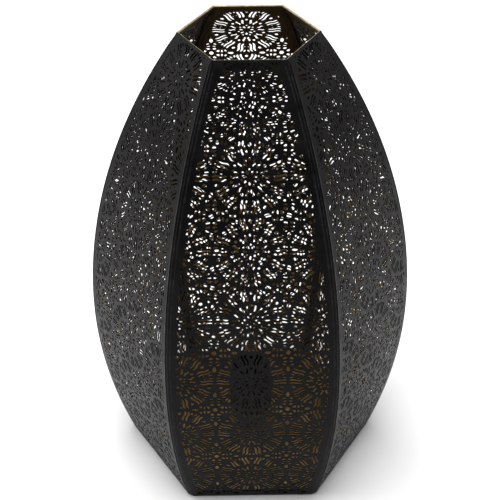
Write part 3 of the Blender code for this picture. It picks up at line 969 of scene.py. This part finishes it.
def make_shell(bakelite):
    low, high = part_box("lampholder_shell")
    radius = high.x
    inner, neck = radius - HOLDER_WALL, radius - SHELL_NECK
    foot, collar, lip = low.z + SHELL_FOOT, low.z + SHELL_COLLAR, high.z - SHELL_LIP
    profile = [(inner, low.z + MOULD_LEAD), (inner + MOULD_LEAD, low.z)]
    profile += rounded(radius, low.z, MOULD_SOFT, -1, 3)
    profile += column(radius, foot, collar, RIB_SPACING) + [(neck, collar + 0.8 * MM)]
    for ring in SHELL_RINGS:
        profile += [(radius - depth * MM, collar + ring + up * MM) for depth, up in RING_SHAPE]
    profile += arc((neck - SHELL_ROUND, high.z - SHELL_ROUND), SHELL_ROUND, 0, 90, 6)
    profile += rounded(SHELL_MOUTH, high.z, MOULD_SOFT, 1, 4)
    profile += [(SHELL_MOUTH, lip), (inner - 0.6 * MM, lip), (inner, lip - 0.6 * MM)]
    mesh = ribbed("shell", profile, bakelite, radius, SHELL_RIB, foot, collar)
    add_piece(mesh, "lampholder_shell")


def make_insert(ceramic):
    low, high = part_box("lampholder_insert")
    floor = high.z - RECESS_DEPTH
    profile = [(0, low.z)]
    profile += rounded(high.x, low.z, INSERT_SOFT, -1) + rounded(high.x, high.z, INSERT_SOFT, 0)
    profile += rounded(RECESS_RADIUS, high.z, INSERT_SOFT, 1)
    profile += rounded(RECESS_RADIUS, floor, RECESS_ROUND, -1)[::-1] + [(0, floor)]
    add_piece(turned("insert", profile, ceramic), "lampholder_insert")


def make_sleeve(brass):
    """Thin sleeve whose wall is rolled into the bulb's thread."""
    low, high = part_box("screw_sleeve")
    outer, floor = high.x, low.z + SLEEVE_WALL
    inner = outer - SLEEVE_WALL
    profile = [(SLEEVE_FLOOR_HOLE, low.z)]
    profile += [(outer - inward * MM, low.z + up * MM) for inward, up in SLEEVE_FOOT]
    profile += column(outer, low.z + 1 * MM, high.z, SLEEVE_SPACING)
    profile += column(inner, high.z, low.z + 1.2 * MM, SLEEVE_SPACING)
    profile += [(inner - 0.5 * MM, floor), (SLEEVE_FLOOR_HOLE, floor)]
    limits = low.z + SLEEVE_PLAIN[0], high.z - SLEEVE_PLAIN[1]
    walls = [thread(r, SLEEVE_THREAD, SLEEVE_PITCH, *limits) for r in (outer, inner)]

    def shape(radius, height, turn):
        wall = walls[0] if radius > inner + TINY else walls[1]
        return wall(radius, height, turn)

    add_piece(turned("sleeve", profile, brass, 72, shape), "screw_sleeve")


def leaf_line(low, high):
    """(x, height) along the leaf's middle: flat root, climb, crown and turned-down tip."""
    root = low.z + LEAF_THICKNESS / 2
    climb = high.z - low.z - LEAF_THICKNESS
    line = []
    for i in range(LEAF_STEPS + 1):
        t = i / LEAF_STEPS
        rise = 0.5 - 0.5 * cos(pi * min(max((t - CLIMB_START) / CLIMB_SHARE, 0), 1))
        drop = DROP_DEPTH * (max(t - DROP_START, 0) / (1 - DROP_START)) ** 2
        x = low.x + LEAF_END + (high.x - low.x - 2 * LEAF_END) * t
        line.append((x, root + climb * (rise - drop)))
    return line


def make_contact_leaf(brass):
    """Sprung strip with softened edges and a round tip."""
    low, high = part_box("contact_leaf")
    middle = leaf_line(low, high)
    thick = LEAF_THICKNESS / 2
    rings = []
    for i, (x, z) in enumerate(middle):
        before, after = middle[max(i - 1, 0)], middle[min(i + 1, LEAF_STEPS)]
        run = Vector((after[0] - before[0], 0, after[1] - before[1])).normalized()
        up = Vector((-run.z, 0, run.x))
        past = max(i / LEAF_STEPS - TIP_START, 0) / (1 - TIP_START)
        half = (high.y - low.y) / 2 * sqrt(max(1 - TIP_ROUND * past**2, TIP_LEAST))
        corners = [(-half, LEAF_SOFT - thick), (LEAF_SOFT - half, -thick)]
        corners += [(-y, d) for y, d in reversed(corners)]
        corners += [(-y, -d) for y, d in corners]
        rings.append([Vector((x, y, z)) + up * d for y, d in corners])
    add_piece(lofted("leaf", rings, (brass,)), "contact_leaf", "contact")


# ---------------- terminals


def soft_box(low, high, material, soft, cutters=()):
    bm = bmesh.new()
    bmesh.ops.create_cube(bm, size=1)
    bmesh.ops.scale(bm, vec=high - low, verts=bm.verts)
    bmesh.ops.translate(bm, vec=(high + low) / 2, verts=bm.verts)
    return baked(finished("block", bm, (material,)), cutters, soft)


def drill(name, radius, low, high, place, material):
    """Cutter for a round hole."""
    mesh = turned(name, [(0, low), (radius, low), (radius, high), (0, high)], material, 32)
    mesh.transform(place)
    return mesh


def make_terminals(brass, zinc):
    """Brass blocks bored for the wire, from below, and for the screw, from outside."""
    for name, side in (("live", -1), ("neutral", 1)):
        low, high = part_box(f"terminal_{name}")
        middle, reach = (low + high) / 2, high.x - low.x
        to_side = Matrix.Translation(middle) @ Matrix.Rotation(side * pi / 2, 4, "Y")
        to_wire = Matrix.Translation(middle + Vector((0, WIRE_OFFSET, 0)))
        screw_hole = drill("bore", SCREW_RADIUS + GAP, -reach, reach, to_side, brass)
        wire_hole = drill("wire", WIRE_RADIUS, -reach, 0, to_wire, brass)
        block = soft_box(low, high, brass, BLOCK_SOFT, (screw_hole, wire_hole))
        add_piece(block, f"terminal_{name}")
        make_terminal_screw(f"terminal_screw_{name}", side, zinc)


def make_terminal_screw(node, side, zinc):
    low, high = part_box(node)
    head, top = (high.z - low.z) / 2, SCREW_HEAD_HEIGHT
    seat = high.x - top if side > 0 else low.x + top
    reach = high.x - low.x - top
    profile = [(0, -reach), (SCREW_RADIUS - SCREW_LEAD, -reach)]
    profile += column(SCREW_RADIUS, SCREW_LEAD - reach, -0.2 * MM, SCREW_SPACING)
    profile += [(SCREW_RADIUS, 0), (head, 0)]
    profile += rounded(head, top, SCREW_HEAD_SOFT, 0, 4) + [(0, top)]
    shape = thread(SCREW_RADIUS, SCREW_THREAD, SCREW_PITCH, -reach, 0)
    slot_low = Vector((-2 * head, -SLOT_WIDTH / 2, top - SLOT_DEPTH))
    slot_high = Vector((2 * head, SLOT_WIDTH / 2, 2 * top))
    slot = soft_box(slot_low, slot_high, zinc, SLOT_SOFT)
    mesh = baked(turned(node, profile, zinc, 40, shape), (slot,))
    place = Matrix.Translation((seat, 0, (low.z + high.z) / 2))
    mesh.transform(place @ Matrix.Rotation(side * pi / 2, 4, "Y"))
    add_piece(mesh, node)


# ---------------- materials


class Paint:
    """A procedural material: noise in object space drives colour, roughness and bump.

    A grain is a noise's features per metre and its detail, and where needed its stretch on
    each axis and its distortion. The output of another node does as well.
    """

    def __init__(self, name, metallic=0.0, specular=0.5):
        self.material = bpy.data.materials.new(name)
        self.material.use_nodes = True
        self.tree = self.material.node_tree
        self.shader = self.tree.nodes["Principled BSDF"]
        self.shader.inputs["Metallic"].default_value = metallic
        self.shader.inputs["Specular IOR Level"].default_value = specular
        self.coordinates = self.node("TexCoord").outputs["Object"]
        self.relief = None

    def node(self, kind, **inputs):
        node = self.tree.nodes.new("ShaderNode" + kind)
        for name, value in inputs.items():
            socket = node.inputs[name.replace("_", " ")]
            if isinstance(value, bpy.types.NodeSocket):
                self.tree.links.new(value, socket)
            else:
                socket.default_value = value
        return node

    def link(self, output, node, name):
        self.tree.links.new(output, node.inputs[name])

    def source(self, grain):
        return self.noise(*grain) if isinstance(grain, tuple) else grain

    def noise(self, scale, detail, stretch=(1, 1, 1), distortion=0.0):
        place = self.node("Mapping", Vector=self.coordinates, Scale=stretch).outputs[0]
        noise = self.node("TexNoise", Vector=place, Scale=scale, Detail=detail)
        noise.inputs["Distortion"].default_value = distortion
        return noise.outputs[0]

    def ramp(self, grain, *stops):
        """Colours of a grain, each stop (position, red, green, blue)."""
        node = self.node("ValToRGB", Fac=self.source(grain))
        elements = node.color_ramp.elements
        while len(elements) < len(stops):
            elements.new(0.5)
        for element, (position, *colour) in zip(elements, stops):
            element.position = position
            element.color = (*colour, 1)
        return node.outputs[0]

    def levels(self, grain, low, high, start, stop):
        """The grain's range from start to stop, spread from low to high."""
        values = {"From_Min": start, "From_Max": stop, "To_Min": low, "To_Max": high}
        return self.node("MapRange", Value=self.source(grain), **values).outputs[0]

    def mix(self, factor, first, second):
        node = self.node("Mix")
        node.data_type = "RGBA"
        for index, value in ((0, factor), (6, first), (7, second)):  # its sockets for colours
            self.link(value, node, index)
        return node.outputs[2]

    def patches(self, grain, share, start, stop, first, second):
        """The first colour, with up to a share of the second where the grain is above start."""
        return self.mix(self.levels(grain, 0, share, start, stop), first, second)

    def wear_and_rim_highlight(self, grain, low, high):
        """The mesh's mask of rubbed edges and seams, which on the rim's fold is also a painted
        highlight, broken up by a grain between low and high.
        """
        node, attribute = self.node("Math"), self.node("Attribute")
        node.operation = "MULTIPLY"
        attribute.attribute_name = "wear_and_rim_highlight"
        self.link(attribute.outputs["Fac"], node, 0)
        self.link(self.levels(grain, low, high, 0.35, 0.65), node, 1)
        return node.outputs[0]

    def colour(self, socket):
        self.link(socket, self.shader, "Base Color")

    def roughness(self, grain, low, high, start=0.3, stop=0.7):
        self.link(self.levels(grain, low, high, start, stop), self.shader, "Roughness")

    def bump(self, grain, depth, strength):
        """Adds a layer of relief."""
        node = self.node("Bump", Height=self.source(grain), Distance=depth, Strength=strength)
        if self.relief:
            self.link(self.relief, node, "Normal")
        self.relief = node.outputs[0]
        self.link(self.relief, self.shader, "Normal")


def powder_coat():
    """Satin black powder coat: orange peel, dust, and paint rubbed thin along the long edges."""
    paint = Paint("black_powder_coat", specular=0.075)
    body = paint.ramp((45, 6), (0.35, 0.0021, 0.002, 0.0022), (0.68, 0.0043, 0.0042, 0.0046))
    dust = paint.ramp((210, 3), (0.3, 0.009, 0.0085, 0.009), (0.7, 0.017, 0.016, 0.017))
    rubbed = paint.ramp((600, 2), (0.4, 0.012, 0.012, 0.014), (0.6, 0.034, 0.033, 0.038))
    dusty = paint.patches((28, 5), 0.35, 0.5, 0.75, body, dust)
    # Lighter where the mesh's mask is set: rubbed edges and seams, and on the rim's fold partly a
    # painted highlight.
    paint.colour(paint.mix(paint.wear_and_rim_highlight((130, 4), 0.15, 0.9), dusty, rubbed))
    paint.roughness((90, 5), 0.3, 0.46)
    paint.bump((520, 3), 0.12 * MM, 0.35)
    paint.bump((1700, 2), 0.05 * MM, 0.4)
    return paint.material


PAINTED_SHADE_START, PAINTED_SHADE_FULL = 110 * MM, 330 * MM  # heights between which painted shade darkens the gold towards the mouth


def gold_paint():
    """Semi-gloss bronze-gold paint with flow marks, darkened towards the mouth as painted shade, and a
    lighter rim, rubbed and with a painted highlight.
    """
    paint = Paint("gold_paint", metallic=0.55)
    dark, light = (0.3, 0.26, 0.159, 0.044), (0.72, 0.49, 0.338, 0.13)
    body = paint.ramp((55, 6), dark, (0.5, 0.377, 0.244, 0.086), light)
    thin = paint.ramp((320, 3), (0.3, 0.09, 0.052, 0.0145), (0.7, 0.17, 0.104, 0.03))
    # faint: the dark gold of the painted shade near the mouth
    faint = paint.ramp((240, 4), (0.3, 0.024, 0.014, 0.004), (0.7, 0.05, 0.031, 0.009))
    # rim: pale gold on the fold's top, partly rubbed paint and partly a painted highlight.
    rim = paint.ramp((500, 3), (0.35, 0.36, 0.27, 0.13), (0.65, 0.6, 0.48, 0.29))
    patchy = paint.patches((19, 5), 0.7, 0.42, 0.68, body, thin)
    # Painted shade: the gold fades into faint with height, towards the mouth.
    height = paint.node("SeparateXYZ", Vector=paint.coordinates).outputs["Z"]
    fade = paint.levels(height, 0, 0.9, PAINTED_SHADE_START, PAINTED_SHADE_FULL)
    paint.colour(paint.mix(paint.wear_and_rim_highlight((260, 4), 0.5, 1), paint.mix(fade, patchy, faint), rim))
    paint.roughness((110, 5), 0.34, 0.56)
    paint.bump((430, 4), 0.15 * MM, 0.4)
    cells = paint.node("TexVoronoi", Vector=paint.coordinates, Scale=2400)
    paint.bump(cells.outputs[0], 0.04 * MM, 0.3)
    return paint.material


def bakelite():
    """Moulded black thermoset with faint brown flow lines and fine handling scratches."""
    paint = Paint("black_thermoset")
    black, umber = (0.3, 0.005, 0.0046, 0.0046), (0.55, 0.01, 0.0088, 0.0084)
    paint.colour(paint.ramp((60, 5, (1, 1, 2.5), 1.6), black, umber, (0.75, 0.019, 0.015, 0.012)))
    paint.roughness((260, 5, (1, 1, 0.2)), 0.2, 0.42)
    paint.bump((2200, 2, (1, 1, 0.08)), 0.02 * MM, 0.35)
    paint.bump((180, 3), 0.06 * MM, 0.25)
    return paint.material


def mottled(paint, first, second, patches, gloss, *relief):
    """A ramp of one colour with patches of a second ramp, then roughness and layers of relief."""
    paint.colour(paint.patches(*patches, paint.ramp(*first), paint.ramp(*second)))
    paint.roughness(*gloss)
    for layer in relief:
        paint.bump(*layer)
    return paint.material


def sprayed_strip():
    """Black strip that caught some of the gold spray, with grey scuffs."""
    speckle = (900, 5), (0.42, 0.012, 0.008, 0.004), (0.6, 0.06, 0.036, 0.011)
    scuffs = (500, 3), (0.35, 0.02, 0.019, 0.019), (0.7, 0.09, 0.086, 0.08)
    patches, gloss = ((70, 6, (1, 1, 0.35)), 0.85, 0.56, 0.66), ((150, 4), 0.38, 0.62)
    paint = Paint("sprayed_strip", specular=0.15)
    return mottled(paint, speckle, scuffs, patches, gloss, ((700, 4), 0.1 * MM, 0.4))


def soft_rubber():
    """Grey-black rubber with talc on it."""
    grey = (340, 5), (0.35, 0.014, 0.014, 0.0145), (0.7, 0.034, 0.033, 0.032)
    talc = (1900, 2), (0.4, 0.05, 0.049, 0.047), (0.7, 0.11, 0.108, 0.1)
    patches, gloss = ((620, 5), 0.6, 0.58, 0.72), ((500, 3), 0.7, 0.92, 0.35, 0.65)
    paint = Paint("rubber", specular=0.35)
    return mottled(paint, grey, talc, patches, gloss, ((2600, 3), 0.08 * MM, 0.5))


def zinc_plate():
    """Bright zinc with a blue-yellow passivation cast, fine tool marks and dull spots."""
    blue, grey, yellow = (0.3, 0.50, 0.53, 0.58), (0.5, 0.60, 0.60, 0.58), (0.72, 0.66, 0.62, 0.50)
    cast = (170, 4, (1, 1, 1), 0.6), blue, grey, yellow
    dull = (1200, 3), (0.3, 0.26, 0.26, 0.27), (0.7, 0.42, 0.42, 0.42)
    patches, gloss = ((420, 6), 0.8, 0.56, 0.7), ((900, 4, (1, 1, 4)), 0.24, 0.46)
    marks = (2000, 3, (1, 1, 6)), 0.02 * MM, 0.4
    return mottled(Paint("zinc_plate", metallic=1.0), cast, dull, patches, gloss, marks)


DRAWING_MARKS = (1800, 3, (1, 1, 8)), 0.02 * MM, 0.35


def brass_darkened_as_shade():
    """Brass painted almost black as painted shade deep inside the lampholder, with lighter patches."""
    dark = (240, 4), (0.3, 0.012, 0.009, 0.006), (0.7, 0.024, 0.017, 0.01)
    rubbed = (800, 3), (0.3, 0.03, 0.02, 0.01), (0.7, 0.06, 0.042, 0.022)
    patches, gloss = ((180, 6), 0.8, 0.55, 0.72), ((600, 4), 0.4, 0.65)
    return mottled(Paint("brass_painted_dark_as_shade", metallic=0.8), dark, rubbed, patches, gloss, DRAWING_MARKS)


def drawn_brass():
    """Brass sheet with brown tarnish and faint drawing marks."""
    bright = (240, 4), (0.3, 0.62, 0.42, 0.16), (0.7, 0.78, 0.58, 0.28)
    tarnish = (800, 3), (0.3, 0.22, 0.12, 0.05), (0.7, 0.40, 0.25, 0.11)
    patches, gloss = ((130, 6), 0.85, 0.5, 0.7), ((600, 4), 0.2, 0.44)
    return mottled(Paint("brass", metallic=1.0), bright, tarnish, patches, gloss, DRAWING_MARKS)


def glazed_ceramic():
    """Off-white glaze over a slightly uneven body, with a few pinholes and brown specks."""
    glaze = (110, 4), (0.3, 0.70, 0.67, 0.59), (0.7, 0.82, 0.80, 0.74)
    speck = (3000, 1), (0.3, 0.30, 0.22, 0.15), (0.7, 0.5, 0.42, 0.33)
    patches, gloss = ((1500, 2), 0.9, 0.7, 0.76), ((300, 4), 0.12, 0.3)
    return mottled(Paint("ceramic"), glaze, speck, patches, gloss, ((200, 3), 0.1 * MM, 0.3))


# ---------------- studio


CAMERA_DISTANCE = 1094.4 * MM  # from the lamp's axis
CAMERA_HEIGHT = 980.6 * MM  # above the panels' lower edge
CAMERA_SIDE = radians(-0.69)
CAMERA_PITCH = radians(34.716)
CAMERA_ROLL = radians(-0.295)
LENS = 98.93
SENSOR = 36
FLOOR_HALF = 4.0
FLOOR_ROUGHNESS = 0.9
WORLD_GREY = 0.22
# Name, place, aim, size and power in watts.
SOFTBOXES = (
    ("top_softbox", (-0.2, 0.05, 2.3), (-0.05, 0, 0), (2.4, 2.4), 102),
    ("left_softbox", (-2.0, 0.6, 0.95), (0, 0, 0.4), (1.4, 1.2), 11),
    ("right_softbox", (2.0, 0.6, 0.95), (0, 0, 0.4), (1.4, 1.2), 5.5),
)


def make_camera():
    data = bpy.data.cameras.new("camera")
    data.lens = LENS
    data.sensor_width = SENSOR
    camera = linked("camera", data)
    place = Matrix.Translation((0, -CAMERA_DISTANCE, CAMERA_HEIGHT + FOOT_HEIGHT))
    turn = Matrix.Rotation(CAMERA_SIDE, 4, "Z")
    look = Matrix.Rotation(pi / 2 - CAMERA_PITCH, 4, "X")
    camera.matrix_world = turn @ place @ look @ Matrix.Rotation(CAMERA_ROLL, 4, "Z")
    bpy.context.scene.camera = camera


def area_light(name, place, target, size, power):
    data = bpy.data.lights.new(name, "AREA")
    data.shape = "RECTANGLE"
    data.size, data.size_y = size
    data.energy = power
    light = linked(name, data)
    light.location = place
    aim = Vector(target) - Vector(place)
    light.rotation_euler = aim.to_track_quat("-Z", "Y").to_euler()


def make_floor():
    """Plain pale floor, very slightly uneven in tone."""
    paint = Paint("floor_paint", specular=0.2)
    paint.colour(paint.ramp((3, 2), (0.3, 0.88, 0.88, 0.88), (0.7, 0.92, 0.92, 0.92)))
    paint.shader.inputs["Roughness"].default_value = FLOOR_ROUGHNESS
    corners = [(-FLOOR_HALF, -FLOOR_HALF, 0), (FLOOR_HALF, -FLOOR_HALF, 0)]
    corners += [(FLOOR_HALF, FLOOR_HALF, 0), (-FLOOR_HALF, FLOOR_HALF, 0)]
    mesh = bpy.data.meshes.new("floor")
    mesh.from_pydata(corners, [], [(0, 1, 2, 3)])
    mesh.materials.append(paint.material)
    linked("floor", mesh)


def make_studio():
    make_floor()
    world = bpy.data.worlds.new("studio")
    world.use_nodes = True
    background = world.node_tree.nodes["Background"]
    background.inputs["Color"].default_value = (WORLD_GREY, WORLD_GREY, WORLD_GREY, 1)
    bpy.context.scene.world = world
    for values in SOFTBOXES:
        area_light(*values)
    bpy.context.scene.view_settings.view_transform = "Standard"


def make_lamp():
    black, gold, strip = powder_coat(), gold_paint(), sprayed_strip()
    thermoset, rubber, zinc = bakelite(), soft_rubber(), zinc_plate()
    brass, ceramic = drawn_brass(), glazed_ceramic()
    make_panels(black, gold)
    make_corner_strips(black, strip)
    make_base_pan(gold, black)
    make_feet(rubber)
    make_cable_edging(rubber)
    make_tube(zinc)
    make_nuts(zinc)
    make_washers(zinc)
    make_cap(thermoset)
    make_shell(thermoset)
    make_insert(ceramic)
    # The sleeve's near-black brass is painted shade inside the lampholder.
    make_sleeve(brass_darkened_as_shade())
    make_contact_leaf(brass)
    make_terminals(brass, zinc)


make_camera()
make_studio()
make_lamp()
